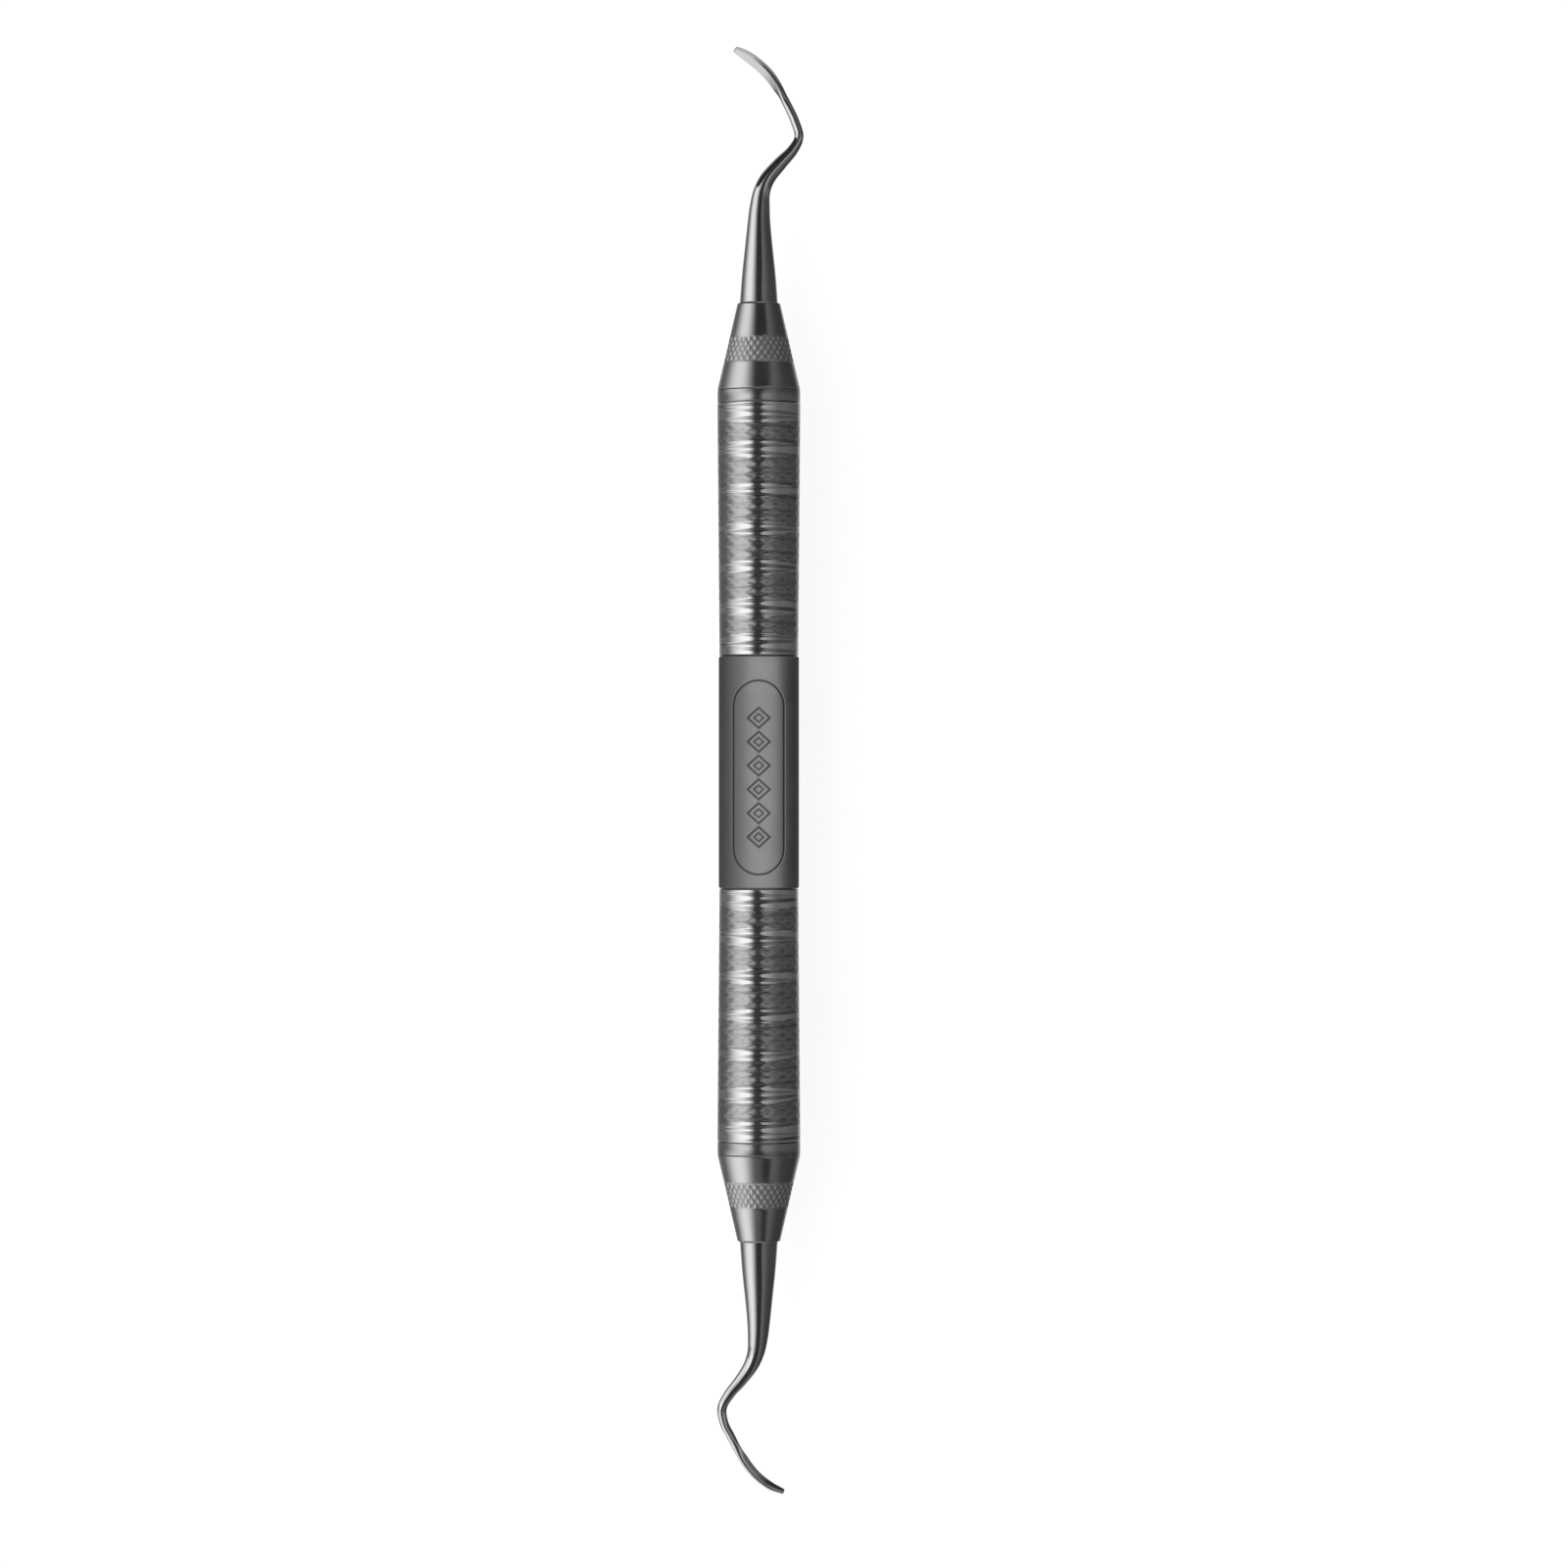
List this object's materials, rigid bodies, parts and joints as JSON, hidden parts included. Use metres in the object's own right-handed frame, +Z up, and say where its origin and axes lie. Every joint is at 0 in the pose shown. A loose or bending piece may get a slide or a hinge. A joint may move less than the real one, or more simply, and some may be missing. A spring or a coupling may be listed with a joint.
{
  "type": "hand scaler",
  "caption": "Double-ended hand scaler: a hollow ring-grooved handle with a satin centre and, screwed into each end, a knurled cone with a bent shank and curved blade.",
  "frame": {"origin": "on the surface that the handle lies on, under the middle of the handle", "axes": "+X along the handle towards the right end, +Z up from the surface; both tips bend in the plane parallel to the surface"},
  "size_m": [0.1652, 0.0099, 0.0095],
  "materials": {
    "polished_steel": "mirror-polished stainless steel",
    "satin_steel": "satin, glass-beaded stainless steel",
    "bright_satin_steel": "fine-turned, bright satin stainless steel",
    "seal_rubber": "matte moulded rubber"
  },
  "bodies": {
    "handle": {"centre_barrel": "satin_steel", "right_grip_tube": "polished_steel", "left_grip_tube": "polished_steel", "right_end_plug": "bright_satin_steel", "left_end_plug": "bright_satin_steel"},
    "right_seal": {"right_seal_ring": "seal_rubber"},
    "right_tip": {"right_cone": "bright_satin_steel", "right_scaler_tip": "polished_steel"},
    "left_seal": {"left_seal_ring": "seal_rubber"},
    "left_tip": {"left_cone": "bright_satin_steel", "left_scaler_tip": "polished_steel"}
  },
  "joints": [
    {"name": "right_screw_travel", "type": "slide", "parent": "handle", "child": "right_seal", "axis": [1, 0, 0], "range_m": [0, 0.004]},
    {"name": "right_screw_turn", "type": "hinge", "parent": "right_seal", "child": "right_tip", "pos_m": [0.0436, 0, 0.00475], "axis": [1, 0, 0], "range_deg": [0, 1800]},
    {"name": "left_screw_travel", "type": "slide", "parent": "handle", "child": "left_seal", "axis": [-1, 0, 0], "range_m": [0, 0.004]},
    {"name": "left_screw_turn", "type": "hinge", "parent": "left_seal", "child": "left_tip", "pos_m": [-0.0436, 0, 0.00475], "axis": [-1, 0, 0], "range_deg": [0, 1800]}
  ],
  "couplings": [
    {"joint": "right_screw_turn", "follows": "right_screw_travel", "rad_per_m": 7854},
    {"joint": "left_screw_turn", "follows": "left_screw_travel", "rad_per_m": 7854}
  ]
}
